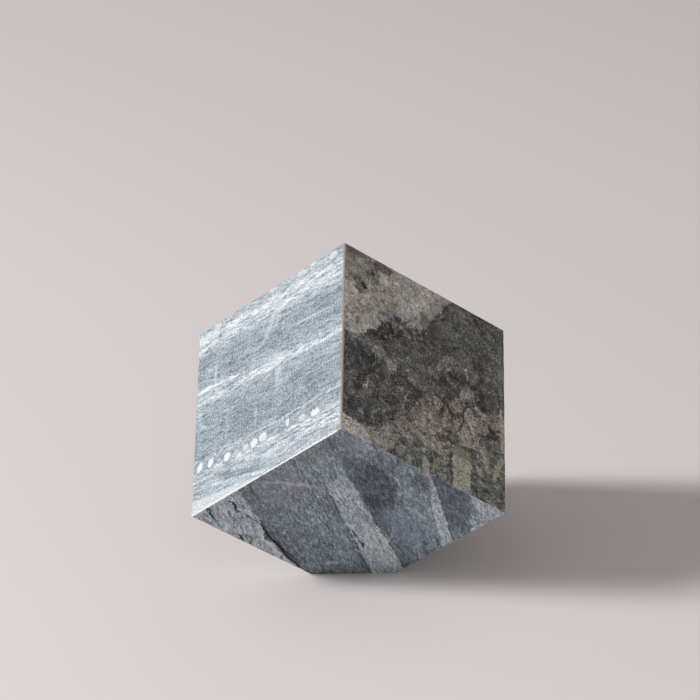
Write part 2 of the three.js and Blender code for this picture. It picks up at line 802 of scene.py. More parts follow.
    def over(self, below: Given, above: Given, cover: Given) -> Field:
        """One colour laid over another."""
        return self.add("ShaderNodeMix", cover, below, above, data_type="RGBA")

    def dappled(self, colour: Field, share: Field) -> Field:
        """A colour made lighter or darker by a share of itself."""
        return self.add("ShaderNodeHueSaturation", None, None, share + 1, None, colour)

    def worn(self, colour: Field) -> Field:
        """Lays wear over a face: crushed, pale stone along its eased edges and in its chips.

        Args:
            colour: The face's colour.

        Returns:
            The colour with the wear on it.
        """
        ragged = self.noted("arris") + 1.3 * self.uneven(self.point, 1.6, 2.0, 60)
        to_front = self.add("ShaderNodeCombineXYZ", self.x, self.y, 0.0)
        to_front = self.add("ShaderNodeVectorMath", to_front, operation="LENGTH")
        to_left = self.add("ShaderNodeCombineXYZ", self.x, self.z, 0.0)
        to_left = self.add("ShaderNodeVectorMath", to_left, operation="LENGTH")
        # Every edge is paler where it is crushed, in patches about 5 mm long.
        broken = self.between(self.uneven(self.point, 5.0, 2.0, 61), -0.05, 0.12)
        colour = self.over(colour, linear("#a5a39e"), self.between(ragged, 0.9, 0.3) * broken * 0.6)
        # The edge between the left and the front under face is a clean white line.
        white = self.between(ragged, 0.75, 0.35) * self.between(to_left, 3, 2)
        colour = self.over(colour, linear("#dbdad7"), white)
        # The front edge is stained brown, and darker on its left half.
        left_half = self.between(self.y - self.x, -0.6, 0.2)
        stain = self.over(linear("#a3998d"), linear("#877a6d"), left_half)
        stained = self.between(ragged, 1.3, 0.8) * self.between(to_front, 4, 3)
        colour = self.over(colour, stain, stained * 0.8)
        return self.over(colour, linear("#b9b8b4"), self.noted("chip") * 0.3)


@dataclass(frozen=True)
class Finish:
    """A kind of stone, drawn once as a node group that turns a place into a colour.

    Attributes:
        edge: The block's edge, in millimetres.
    """

    edge: float

    def paint(self, stone: Stone, along: Field, up: Field) -> Field:
        """Draws the stone.

        Args:
            stone: The group that is being drawn.
            along: How far along the face a point is.
            up: How far up the face it is.

        Returns:
            The colour.
        """
        raise NotImplementedError

    def group(self) -> bpy.types.NodeTree:
        """Draws the stone into a group of its own.

        Returns:
            The group, with a point, a distance along the face and a height on it as inputs.
        """
        tree = bpy.data.node_groups.new(type(self).__name__, "ShaderNodeTree")
        for name, kind in (("Point", "Vector"), ("Along", "Float"), ("Up", "Float")):
            tree.interface.new_socket(name, in_out="INPUT", socket_type=f"NodeSocket{kind}")
        tree.interface.new_socket("Colour", in_out="OUTPUT", socket_type="NodeSocketColor")
        stone = Stone(tree, self.edge)
        point, along, up = [stone.add("NodeGroupInput", out=socket) for socket in range(3)]
        stone.read_at(point)
        stone.add("NodeGroupOutput", self.paint(stone, along, up))
        return tree


@dataclass(frozen=True)
class BandedMarble(Finish):
    """Pale blue-grey marble, sawn across its beds and honed.

    To the eye it is a bright, cool satin stone with white bands, a string of white beads and a
    sparkle of fine fibres along the beds.

    Attributes:
        tones: The stone's own tone, from 0 to 1, by height.
        beds: White and grey bands.
        seams: Thin brown seams, each with how much of it is broken away.
        beads: White oval beads.
        bead_rim: How far the darker rim of a bead reaches past it, along and across it.
        blots: Pale smears across the bands.
        hairline: A white hairline near the top.
        palette: The colours of the tones.
    """

    tones: Knots = (
        (0, 0.5), (12, 0.42), (19, 0.46), (24, 0.5), (30, 0.46), (34, 0.33), (40, 0.24), (50, 0.22),
        (60, 0.26), (66, 0.32), (72, 0.36), (80, 0.32), (90, 0.24), (99, 0.26), (106, 0.5), (112, 0.56),
        (117, 0.5), (130, 0.45),
    )
    beds: tuple[Bed, ...] = (
        Bed((105.2, 108.4), (102.4, 106.4), 0.66, 1.2), Bed((111.0, 115.8), (106.8, 109.6), 0.8, 1.6),
        Bed((70.5, 79.5), (61.5, 66.8), 0.5, 1.2), Bed((70.3, 72.6), (61.8, 64.2), 0.72, 0.9),
        Bed((70.3, 75.5), (61.5, 65.5), 0.72, 1.2, (35, 95)),
        Bed((78.0, 80.3), (67, 68), 0.85, 0.8, (-200, 40)), Bed((23.2, 25.2), (15, 17.2), 0.78, 0.8),
        Bed((12, 20), (9, 15), 0.64, 2.0, (58, 300)), Bed((20, 26), (-21, -15), 0.1, 1.3, (22, 60)),
        Bed((16, 18), (-14, -12), 0.75, 0.8, (16, 66)), Bed((31.0, 33.0), (27, 28.6), 0.56, 0.7),
        Bed((26.5, 31.0), (17.5, 21.5), 0.36, 1.0),
    )
    seams: tuple[tuple[Bed, float], ...] = (
        (Bed((32.2, 33.0), (26.2, 27.0), 0.12, 0.35), 0.0),
        (Bed((23.6, 24.3), (14.6, 15.2), 0.15, 0.3), 0.0),
        (Bed((20.8, 21.6), (11.4, 12.4), 0.2, 0.35, (60, 300)), -0.02),
        (Bed((75.8, 76.5), (62.2, 62.8), 0.3, 0.3, (8, 46)), 0.04),
        (Bed((34.0, 34.6), (29, 29.5), 0.2, 0.3), 0.12),
    )
    beads: tuple[Lump, ...] = (
        Lump((5.7, 28.9), (2.6, 3.1), -12), Lump((14.6, 27.9), (2.4, 2.8), -20),
        Lump((21.5, 26.6), (1.5, 1.8), -10, 0.35), Lump((28.3, 25.4), (2.7, 2.6), -12),
        Lump((36.0, 25.0), (1.6, 1.6), 0, 0.35), Lump((44.0, 24.4), (2.3, 2.4), -25, 0.7),
        Lump((50.2, 24.0), (2.7, 2.8), -15, 0.95), Lump((57.6, 24.3), (3.4, 3.0), -10, 0.85),
        Lump((68.0, 23.0), (1.7, 1.5), 0, 0.35), Lump((77.3, 24.0), (1.5, 2.3), -5, 0.9),
        Lump((88.8, 21.6), (2.9, 2.4), -10, 0.65), Lump((99.4, 20.2), (3.6, 2.2), -8, 0.95),
        # The last bead of the string, and three in the top band.
        Lump((110, 18.5), (2.6, 1.7), -8, 0.4), Lump((62, 118.4), (4.6, 1.5), -5, 0.6),
        Lump((86, 117.4), (5.0, 1.7), -8, 0.55), Lump((110.8, 116.0), (3.7, 1.8), -5, 0.7),
    )
    blots: tuple[Lump, ...] = (
        Lump((15.5, 115), (2.0, 6.0), 0, 0.7), Lump((4, 114), (8, 3), -12, 0.6),
        Lump((66, 70), (5.0, 5.0), 0, 0.5), Lump((69, 59), (2.6, 8.0), 0, 0.5),
        Lump((15.4, 84), (1.1, 8.0), 0, 0.8), Lump((12, 89), (3.0, 1.4), 0, 0.5),
        Lump((8, 54), (4.5, 1.6), -30, 0.7), Lump((4, 62), (1.6, 7.0), 10, 0.4),
        Lump((50.5, 41), (0.8, 8.0), 0, 0.4), Lump((87, 42), (3.5, 3.0), 0, 0.25),
        Lump((60, 94), (1.8, 10.0), -32, 0.5), Lump((67, 97), (1.2, 9.0), -32, 0.4),
        Lump((44, 95), (1.2, 9.0), -20, 0.2), Lump((27, 45), (1.0, 12.0), -5, 0.25),
    )
    palette: Palette = (
        (0.0, "#4d565f"), (0.18, "#717c85"), (0.4, "#89939b"), (0.65, "#a1a9af"), (0.85, "#b6bbbe"),
        (1.0, "#c9cbcc"),
    )
    hairline: Bed = Bed((92.0, 93.0), (81.5, 82.4), 0.95, 0.4, (80, 108))
    bead_rim: tuple[float, float] = (1.4, 1.3)

    def paint(self, stone: Stone, path: Field, up: Field) -> Field:
        """Draws the bands.

        Args:
            stone: The material that is being drawn.
            path: How far along the beds a point is, from the left edge of the left face.
            up: Its height over the lower edge of the left face.

        Returns:
            The colour.
        """
        # The bands sway over 40 and 8 mm and fray over 2.6 mm. They fan out towards the top.
        sway = 3.0 * stone.uneven(stone.point, 40, 1.0) + 1.8 * stone.uneven(stone.point, 8, 2.0, 1)
        height = up + sway + 1.2 * stone.uneven(stone.point, 2.6, 2.0, 2)
        level = height + 0.1 * path * (1 - 0.0037 * up)
        tone = stone.drawn(level, 130, 1, self.tones)
        tone = stone.bedded(tone, path, height, self.beds, 0.85)

        # Fibres 0.8 mm thick, smears of 2.2 mm and saw marks 0.9 mm apart. The crystals are 0.3 to
        # 0.5 mm, drawn at 1 mm so that they show.
        fibres = stone.uneven(stone.drawn_out(8, level + 0.12 * path), 0.8, 3.0, 4)
        streaks = stone.uneven(stone.drawn_out(11, level), 2.2, 3.0, 3)
        sawn = stone.add("ShaderNodeCombineXYZ", stone.x, stone.y, stone.z / 14)
        saw_marks = stone.uneven(sawn, 0.9, 2.0, 5)
        crystals = stone.uneven(stone.point, 1.0, 2.0, 6)
        grain = 0.9 * fibres + 0.5 * streaks + 0.35 * saw_marks + 0.9 * crystals
        tone = tone + grain * (0.5 + 1.1 * tone) + 0.3 * stone.uneven(stone.point, 20, 3.0, 9) + 0.01

        # Dark gouges and white flecks, 1.8 mm thick and six times as long.
        gouges = stone.uneven(stone.drawn_out(6, height), 1.8, 2.0, 10)
        gouged = tone - 0.6 * stone.between(gouges, 0.04, 0.14) * tone
        tone = gouged + 0.28 * stone.between(gouges, -0.05, -0.14) * tone

        # A white wedge at the foot of the face, pale smears, and the beads in their darker rims.
        wedge = stone.between(height + 0.15 * path, 10.5, 8.0)
        tone = stone.add("ShaderNodeMix", wedge * 0.7, tone, 0.86)
        flat = stone.bent(stone.on_face(path, up), 3, 3.4, 7)
        smears = stone.lumps(stone.bent(flat, 7, 7, 8), self.blots, 0.5)
        tone = stone.add("ShaderNodeMix", smears * 0.75, tone, 0.88)
        tone = stone.add("ShaderNodeMix", stone.lumps(flat, self.rims()) * 0.8, tone, 0.16)
        tone = stone.add("ShaderNodeMix", stone.lumps(flat, self.beads, 0.3), tone, 0.97)
        tone = stone.bedded(tone, path, up, [self.hairline], 0.7)
        colour = stone.tinted(tone + 0.8 * crystals, self.palette)

        broken = stone.uneven(stone.drawn_out(2.2, level), 1.6, 2.0, 11)
        for seam, gap in self.seams:
            dashes = stone.bed(path, height, seam) * stone.between(broken, gap - 0.01, gap + 0.04)
            colour = stone.over(colour, linear("#5a4d47"), dashes * 0.85)
        return colour

    def rims(self) -> list[Lump]:
        """The darker rims around the beads."""
        along, across = self.bead_rim
        return [replace(bead, size=(bead.size[0] + along, bead.size[1] + across)) for bead in self.beads]


@dataclass(frozen=True)
class SlateMarble(Finish):
    """Blue-grey marble, honed after it was split and sawn.

    To the eye it is a dull slate-blue stone with slanting pale beds of calcite, a torn pale corner
    and fine cracks that follow the beds.

    Attributes:
        tones: The stone's own tone, from 0 to 1, by height over the slanting beds.
        beds: Pale and dark beds.
        lumps: Smears of other colours, laid over all else, with painted shade inside the long fissure and a
            painted highlight along its upper lip.
        seams: Thin cracks along the beds.
        palette: The colours of the tones.
        shades: Dark clouds in the stone's tone.
        rough_line: Where the torn pale corner begins, as a height by the distance along the face.
        slope: How steeply the beds rise along the face.
    """

    tones: Knots = (
        (-60, 0.3), (-45, 0.3), (-30, 0.42), (-18, 0.44), (-8, 0.4), (6, 0.34), (16, 0.3), (30, 0.34),
        (40, 0.42), (52, 0.36), (64, 0.32), (78, 0.26), (120, 0.26),
    )
    beds: tuple[Bed, ...] = (
        Bed((13, 27), (80, 101), 0.42, 2.0, (-200, 28)),
        Bed((13, 26.5), (80, 101), 0.73, 0.8, (28, 75)),
        Bed((13, 26.5), (80, 101), 0.87, 0.8, (75, 300)),
        Bed((-50, -46), (41, 49), 0.64, 0.6, (-200, 85)),
        Bed((-50, -46), (41, 49), 0.95, 0.6, (85, 300)), Bed((-200, -80), (-100, 26), 0.85, 1.4),
        Bed((1, 11), (74, 82), 0.13, 2.0, (22, 76)), Bed((-66, -47), (19, 40), 0.18, 1.2, (-200, 108)),
    )
    lumps: tuple[Lump, ...] = (
        # The near-black smears at (45, 108.2) and (61, 114.4) are painted shade inside the long fissure.
        Lump((67, 56), (6, 3), 30, 0.5, "#6b7680"), Lump((45, 108.2), (4, 0.8), 24, 0.95, "#1b1d20"),
        Lump((61, 114.4), (7, 0.7), 20, 0.9, "#1b1d20"),
        Lump((54, 109.6), (6, 0.6), 18, 0.6, "#6e675b"), Lump((94, 67), (7, 1.6), 45, 0.7, "#c9d0d3"),
        Lump((106, 78), (5, 2.0), 20, 0.7, "#c9d0d3"), Lump((47, 41), (3, 2.0), 0, 0.6, "#bfc7cb"),
        Lump((75, 62), (9, 1.8), 32, 0.5, "#b9c1c6"), Lump((18, 73), (16, 7), 12, 0.45, "#868e96"),
        Lump((92, 48), (15, 8), 28, 0.55, "#7b8896"), Lump((12, 57), (13, 7), 25, 0.35, "#858e97"),
        Lump((15, 10), (9, 4), 25, 0.5, "#7a8082"), Lump((9, 30), (7, 6), 40, 0.5, "#7f8886"),
        # Painted highlight: the pale smears at (55, 113.6) and (38, 106) light the upper lip of the long
        # fissure.
        Lump((55, 113.6), (17, 1.5), 21, 0.9, "#bcc4c9"),
        Lump((38, 106), (8, 1.7), 42, 0.85, "#b6bfc4"),
        Lump((16.5, 58.6), (15, 1.1), -35, 0.85, "#a9a6ac"),
        Lump((33, 45), (3.5, 5), -40, 0.4, "#98a0a6"), Lump((87, 102), (3.6, 1.9), -40, 0.5, "#c4cbcf"),
        Lump((46, 97), (2.4, 1.0), 20, 0.7, "#b5bdc2"), Lump((105, 79), (4, 1.8), 20, 0.5, "#b5bcc0"),
        Lump((93, 71), (4, 2), 50, 0.4, "#b0b7bc"),
    )
    seams: tuple[Bed, ...] = (
        Bed((27.2, 28.0), (101.8, 102.7), 0.0, 0.25, (30, 104)),
        Bed((12.0, 12.6), (79.2, 79.8), 0.0, 0.2, (60, 300)),
        Bed((-51, -50.4), (39.8, 40.6), 0.0, 0.2, (60, 118)),
        Bed((84, 84.8), (106, 107), 0.0, 0.2, (0, 32)),
        Bed((77, 77.6), (110, 110.6), 0.0, 0.2, (2, 26)),
        Bed((38, 38.5), (106, 106.6), 0.0, 0.2, (10, 60)),
    )
    palette: Palette = (
        (0.0, "#252d3a"), (0.15, "#4e5966"), (0.35, "#6c7885"), (0.6, "#91a0ab"), (0.8, "#a8b5bd"),
        (1.0, "#c3ccd1"),
    )
    shades: tuple[Lump, ...] = (
        Lump((52, 27), (22, 8.5), 34, 0.95), Lump((60, 37), (11, 6), 40, 0.75),
        Lump((66, 10), (9, 5), 35, 0.7), Lump((42, 9), (14, 4), 20, 0.4),
    )
    rough_line: Knots = (
        (0, 82), (8, 85), (15, 90), (28, 96), (38, 104), (50, 110), (65, 114), (80, 120), (120, 140),
    )
    slope: float = 0.58

    def paint(self, stone: Stone, along: Field, up: Field) -> Field:
        """Draws the beds.

        Args:
            stone: The material that is being drawn.
            along: How far a point is from the left face.
            up: How far it is from the right face.

        Returns:
            The colour.
        """
        # The beds sway over 22 mm and fray over 6 mm.
        flat = stone.on_face(along, up)
        sway = 3.0 * stone.uneven(stone.point, 22, 2.0, 30) + 2.6 * stone.uneven(stone.point, 6, 3.0, 31)
        height = up + sway
        level = height - self.slope * along
        tones = tuple((where + 60, tone) for where, tone in self.tones)
        tone = stone.drawn(level + 60, 180, 1, tones)
        tone = stone.bedded(tone, along, height, self.beds, 0.85)
        shade = stone.lumps(stone.bent(flat, 8, 6, 40), self.shades, 0.3)
        tone = stone.add("ShaderNodeMix", shade, tone, 0.08)

        # The torn corner is pale all over, with a border that frays over 2.5 mm.
        rough_line = stone.drawn(along, 120, 140, self.rough_line)
        frayed = height - rough_line + 2.5 * stone.uneven(stone.point, 2.5, 2.0, 37)
        rough = stone.between(frayed, -1.0, 1.0)
        tone = stone.add("ShaderNodeMix", rough * 0.85, tone, 0.74)

        # Streaks of 1.8 mm and fibres of 0.9 mm, four times as long. The crystals are 0.3 to 0.5 mm,
        # drawn at 1 mm so that they show.
        laid = stone.add("ShaderNodeCombineXYZ", (along + up * self.slope) / 4, level, stone.z / 4)
        streaks = stone.uneven(laid, 1.8, 3.0, 33)
        fibres = stone.uneven(stone.on_face((along + up * 0.7) / 4, up - along * 0.7), 0.9, 3.0, 34)
        crystals = stone.uneven(stone.point, 1.0, 2.0, 35)
        clouds = stone.uneven(stone.point, 12, 4.0, 36)
        grain = 0.7 * streaks + 1.0 * fibres + 0.6 * crystals
        tone = tone + grain * (0.45 + 1.2 * tone) + 0.5 * clouds
        colour = stone.tinted(tone, self.palette)
        colour = stone.strewn(colour, stone.bent(stone.bent(flat, 8, 6, 38), 2.5, 2.0, 39), self.lumps, 0.4)

        # Dark creases 6 to 9 mm long, painted shade for fine creases that the mesh doesn't have, and pale
        # flakes 2 to 3 mm long, along the beds and across them.
        torn = stone.bent(stone.bent(flat, 5, 4.0, 32), 1.6, 1.4, 57)
        crease_shade = stone.needles(torn, 31, (9.0, 1.0), 0.05, 58)
        crease_shade = crease_shade + stone.needles(torn, 52, (6.0, 0.8), 0.05, 59)
        colour = stone.over(colour, linear("#2a2d32"), crease_shade * (0.4 + 0.4 * rough))
        flakes = stone.needles(torn, 30, (3.2, 1.1), 0.07, 55)
        flakes = flakes + stone.needles(torn, 70, (2.4, 0.8), 0.03, 56)
        colour = stone.over(colour, linear("#bcc5ca"), flakes * (0.75 * tone))

        broken = stone.between(stone.uneven(flat, 5.0, 2.0, 59), -0.1, 0.0)
        for seam in self.seams:
            colour = stone.over(colour, linear("#24272b"), stone.bed(along, height, seam) * broken * 0.8)
        return stone.dappled(colour, 0.6 * crystals + 0.9 * fibres + 0.3 * streaks)


@dataclass(frozen=True)
class BrokenGrain:
    """The unevenness that all parts of the breccia share.

    Attributes:
        pieces: The tone of each broken piece, about 0.
        flow: Streaks of tone, about 0.
        border: How far the borders wander, in millimetres.
        flat: The place on the face, in millimetres.
        broad: The same place, bent, where lumps and splinters are read.
    """

    pieces: Field
    flow: Field
    border: Field
    flat: Field
    broad: Field


@dataclass(frozen=True)
class DarkBreccia(Finish):
    """Dark marble that was broken and healed in the ground, honed.

    To the eye it is a charcoal stone of many small angular pieces, with a taupe cloud, a swirl of
    rust-brown and a green-grey foot with pale clasts.

    Attributes:
        taupe_line: The lower border of the taupe cloud, as a height by the distance along the face.
        brown_line: The upper border of the rust-brown swirl, in the same way.
        green_line: The upper border of the green-grey foot, in the same way.
        lumps: Lumps and splinters in the charcoal stone, with painted shade in two pits and a painted
            highlight beside one.
        brown_lumps: Those in the rust-brown swirl.
        clasts: Pale pieces in the green-grey foot.
        rusty: Places strewn with dark and rusty crumbs.
        vein: The dark vein, as a distance along the face by the height.
        brown_palette: The colours of the swirl's tones.
        green_palette: The colours of the foot's tones.
        reach: How far along the face its borders are drawn.
    """

    taupe_line: Knots = (
        (0, 61), (12, 66), (22, 72), (30, 83), (38, 89), (50, 90), (57, 89), (62, 98), (68, 106),
        (75, 114), (84, 122), (110, 150), (150, 170), (200, 150), (240, 130),
    )
    brown_line: Knots = (
        (0, 2), (10, 8), (22, 12), (32, 18), (42, 26), (50, 36), (58, 45), (66, 51), (78, 53), (84, 57),
        (89, 67), (94, 68), (98, 61), (104, 57), (120, 62), (140, 48), (165, 22), (190, 5), (240, 5),
    )
    green_line: Knots = (
        (0, 0), (30, 0), (38, 8), (44, 14), (55, 18), (64, 18), (72, 14), (78, 20), (87, 29), (96, 30),
        (101, 40), (106, 46), (112, 48), (120, 47), (150, 30), (180, 10), (240, 0),
    )
    lumps: tuple[Lump, ...] = (
        # Pale and dark patches of the taupe cloud and the crumbs in it, with painted shade and a painted
        # highlight at its two pits.
        Lump((52, 112), (15, 9), 20, 0.75, "#cdc8bf"), Lump((8, 83), (9, 11), 0, 0.75, "#c8c1b7"),
        Lump((28, 98), (12, 6), 15, 0.4, "#a5a098"), Lump((12, 110), (14, 11), 0, 0.6, "#76726c"),
        Lump((4, 102), (6, 5), 0, 0.5, "#8e867d"), Lump((28, 117), (7, 3), 10, 0.85, "#4c4641"),
        Lump((8, 118), (9, 2.5), 0, 0.7, "#595550"), Lump((13, 96), (5, 4), 30, 0.6, "#5a5249"),
        # Painted shade in the two pits: the near-black dots at (15, 99) and (20.5, 110). The pale spot at
        # (24.5, 107.5) is a painted highlight on the upper pit's rim.
        Lump((15, 99), (1.4, 2.0), 0, 0.8, "#2e2925"), Lump((11, 94.5), (3.0, 0.8), 30, 0.7, "#352e28"),
        Lump((20.5, 110), (1.2, 2.2), 10, 0.8, "#2c2825"),
        Lump((24.5, 107.5), (2.6, 1.0), 0, 0.7, "#d8d5cd"),
        Lump((23, 111.5), (3.0, 0.8), -10, 0.6, "#c9c5bc"),
        # The bluish edge of the cloud, and the dark and rusty stone under it.
        Lump((38, 88), (13, 5.0), 15, 0.85, "#a2a2a6"), Lump((34, 77), (10, 6.5), 35, 0.8, "#51463f"),
        Lump((25, 71), (8, 2.4), 10, 0.85, "#2b2927"), Lump((52, 83), (7, 3.4), 20, 0.5, "#6b5b50"),
        # Healed pieces in the charcoal stone, with a few pale splinters.
        Lump((76, 76), (9, 5.5), 32, 0.7, "#7f7d75"), Lump((68, 84), (5, 7), 60, 0.4, "#6d6b66"),
        Lump((12, 64), (9, 2.2), 18, 0.7, "#77777a"), Lump((20, 52), (14, 3.6), -40, 0.85, "#3b3b3a"),
        Lump((28, 60), (12, 4.2), -10, 0.9, "#858480"), Lump((35, 56), (4.5, 6), 20, 0.9, "#8e8d89"),
        Lump((24, 55), (8, 1.2), -38, 0.8, "#2c2c2b"), Lump((34, 44), (11, 7.5), -25, 0.85, "#5b5b54"),
        Lump((22, 45), (3, 6), -35, 0.6, "#4c4c47"), Lump((7, 50), (9, 5), -55, 0.85, "#434341"),
        Lump((11, 40), (2.4, 8), 25, 0.6, "#454442"), Lump((4, 38), (3, 8), 0, 0.5, "#6a6963"),
        Lump((19, 35), (4.5, 7), -20, 0.6, "#7a7972"),
        Lump((17.8, 37), (0.9, 5.5), -12, 1.0, "#dad7cf"),
        Lump((15.4, 35), (0.7, 4.5), -16, 1.0, "#c6c3bb"), Lump((5, 28), (3, 3.4), 0, 0.6, "#8b8a84"),
        Lump((50, 44), (5.5, 8), 35, 0.75, "#3b3a39"), Lump((44, 46), (0.6, 4), -15, 0.7, "#a5a39c"),
        Lump((47, 41), (0.6, 4), -25, 0.7, "#a5a39c"), Lump((50, 56), (5, 4.5), 0, 0.75, "#82817c"),
        Lump((57, 62), (4, 6), 0, 0.5, "#6d6c67"), Lump((70, 62), (12, 3.4), 20, 0.7, "#3a3938"),
        Lump((64, 66), (3.5, 2.4), 0, 0.6, "#7e7c75"), Lump((86, 72), (9, 3.0), 8, 0.9, "#30302f"),
        Lump((80, 66), (4, 2.2), -30, 0.7, "#82807a"), Lump((91, 77), (0.6, 4), 5, 0.8, "#b5b2a9"),
        Lump((104, 64), (8, 6), -10, 0.8, "#3a3936"), Lump((98, 72), (4, 4), 0, 0.5, "#6b6a64"),
        Lump((62, 92), (6, 9), 30, 0.6, "#444341"), Lump((96, 96), (8, 12), 20, 0.4, "#4f4e4c"),
        # The round dark piece near the front edge, with its pale spot, and ripples above it.
        Lump((14, 18), (10, 8), 0, 0.7, "#3f3f41"), Lump((14, 18.5), (2.4, 1.3), -10, 0.95, "#a3a29a"),
        Lump((23, 14), (7, 2.4), 20, 0.6, "#333334"), Lump((108, 80), (6, 10), 0, 0.5, "#77766e"),
        Lump((30, 26), (12, 0.6), 25, 0.6, "#8e8c85"), Lump((40, 31), (10, 0.6), 35, 0.6, "#8e8c85"),
    )
    brown_lumps: tuple[Lump, ...] = (
        Lump((88, 54), (9, 9), 60, 0.6, "#aea69d"), Lump((80, 42), (13, 6), 20, 0.4, "#9c9087"),
        Lump((62, 24), (9, 4), 25, 0.6, "#a2978f"), Lump((78, 47), (8, 3.4), 8, 0.6, "#775e50"),
        Lump((66, 36), (7, 2.0), 45, 0.4, "#7a655a"), Lump((71, 26), (6, 1.4), 20, 0.7, "#423d38"),
        Lump((91, 46), (5.5, 17), 0, 0.7, "#b9b1a8"), Lump((109, 50), (6, 7), 0, 0.6, "#735f54"),
        Lump((109, 44), (3.5, 4.5), 0, 0.9, "#3d3936"), Lump((50, 33), (8, 3), 35, 0.5, "#766a63"),
        Lump((58, 40), (6, 2.4), 30, 0.5, "#7a6358"), Lump((40, 20), (7, 1.6), 25, 0.5, "#6a6863"),
        Lump((22, 8), (13, 3.6), 12, 0.6, "#a09c94"),
    )
    clasts: tuple[Lump, ...] = (
        Lump((84, 12), (1.4, 9.0), 2, 0.4, "#9a9686"),
        Lump((104.5, 27), (2.2, 8.5), 14, 0.9, "#aeab9a"),
        Lump((96, 20), (1.2, 10), -4, 0.6, "#4c504c"), Lump((43, 5), (3.0, 4.5), -20, 0.7, "#96958b"),
        Lump((61, 4.5), (2.6, 5.5), 5, 0.9, "#adaa9c"), Lump((53, 9), (2.0, 3.5), 30, 0.6, "#8e8d83"),
        Lump((68, 8), (1.6, 5.0), -25, 0.7, "#9d9a8c"), Lump((73, 3), (2.2, 3.5), -10, 0.6, "#a5a294"),
        Lump((49, 3), (1.2, 3.0), 10, 0.7, "#a3a195"), Lump((36, 6), (1.6, 3.0), -35, 0.6, "#a3a19a"),
        # The slab's dark side, and upright stripes near the far edge.
        Lump((79, 10), (1.4, 8), 4, 0.8, "#3f4340"), Lump((117.6, 50), (1.6, 16), 2, 0.9, "#b3af9c"),
        Lump((114.5, 26), (1.9, 11), -22, 0.9, "#a9a792"), Lump((109, 8), (1.3, 7), 6, 0.6, "#8b8a7c"),
        Lump((100, 8), (2.0, 7), 0, 0.5, "#85857a"), Lump((116.5, 90), (2.0, 20), 2, 0.6, "#85837a"),
        # The pale crust at the lowest part of the front edge.
        Lump((7, 4), (15, 6.0), -14, 0.92, "#cdcac2"), Lump((26, 4), (12, 2.5), 12, 0.5, "#a8a49c"),
    )
    rusty: tuple[Lump, ...] = (
        Lump((34, 78), (11, 9), 35, 1.0), Lump((54, 84), (8, 4), 20, 0.8),
        Lump((13, 97), (5, 5), 20, 0.9), Lump((21, 110), (5, 5), 0, 0.8),
        Lump((76, 47), (15, 8), 10, 1.0), Lump((94, 56), (9, 4.5), -20, 0.9),
        Lump((109, 45), (7, 12), 0, 1.0), Lump((73, 27), (12, 5.5), 20, 0.9),
        Lump((6, 22), (5, 8), 0, 0.5), Lump((28, 20), (8, 4), 20, 0.6),
        Lump((74, 108), (4, 9), -30, 0.6),
    )
    vein: Knots = (
        (0, 60), (30, 72), (33, 76), (36, 84), (44, 88), (52, 89), (56, 92), (58, 96), (120, 100),
    )
    brown_palette: Palette = ((0.0, "#4f4742"), (0.35, "#8a8079"), (0.6, "#a79f96"), (1.0, "#cbc5bc"))
    green_palette: Palette = ((0.0, "#373b3a"), (0.35, "#5f6360"), (0.6, "#84837a"), (1.0, "#bbb6a5"))
    reach: float = 240

    def paint(self, stone: Stone, along: Field, up: Field) -> Field:
        """Draws the lumps and clouds.

        Args:
            stone: The material that is being drawn.
            along: The distance from the front edge.
            up: The height over the lower edge.

        Returns:
            The colour.
        """
        grain = self.grain(stone, along, up)
        # The crystals are 0.3 to 0.5 mm, drawn at 1.1 mm so that they show.
        crystals = stone.uneven(stone.point, 1.1, 3.0, 43)
        taupe_height = up - stone.drawn(along, self.reach, self.reach, self.taupe_line) + grain.border
        in_taupe = stone.between(taupe_height, -0.6, 0.6)
        colour = self.clouded(stone, grain, along, taupe_height, in_taupe)
        brown_depth = stone.drawn(along, self.reach, self.reach, self.brown_line) - up + grain.border * 0.7
        in_brown = stone.between(brown_depth, -0.5, 0.5)
        colour = stone.over(colour, self.brown(stone, grain), in_brown)
        colour = self.swirled(stone, grain, along, brown_depth, colour)
        green_depth = stone.drawn(along, self.reach, self.reach, self.green_line) - up + grain.border * 0.5
        colour = self.footed(stone, grain, stone.between(green_depth, -0.8, 0.8), colour)
        colour = self.veined(stone, grain, along, up, colour)
        colour = self.crumbled(stone, grain, colour)
        return stone.dappled(colour, 1.1 * grain.flow + crystals * (4.4 - 2.2 * in_taupe - 1.6 * in_brown))

    def grain(self, stone: Stone, along: Field, up: Field) -> BrokenGrain:
        """Breaks the stone into pieces of 9 and 3 mm and draws streaks of 4 mm through it.

        Args:
            stone: The material that is being drawn.
            along: The distance from the front edge.
            up: The height over the lower edge.

        Returns:
            What all parts of the stone share.
        """
        swirl = stone.bent(stone.bent(stone.point, 18, 16, 40), 5, 5, 41)
        small = stone.fragments(stone.bent(stone.point, 2.5, 3, 46), 3.2)
        pieces = stone.fragments(swirl, 9) * 0.6 + small * 0.6
        flat_swirl = stone.add("ShaderNodeVectorMath", swirl, (0.8, 0.8, 2.4), operation="MULTIPLY")
        flow = stone.uneven(flat_swirl, 4, 4.0, 42)
        border = 13 * stone.uneven(stone.point, 10, 4.0, 45) + 10 * stone.uneven(stone.point, 2.6, 3.0, 47)
        flat = stone.on_face(along, up)
        return BrokenGrain(pieces, flow, border, flat, stone.bent(stone.bent(flat, 9, 8, 46), 2.2, 3.6, 48))

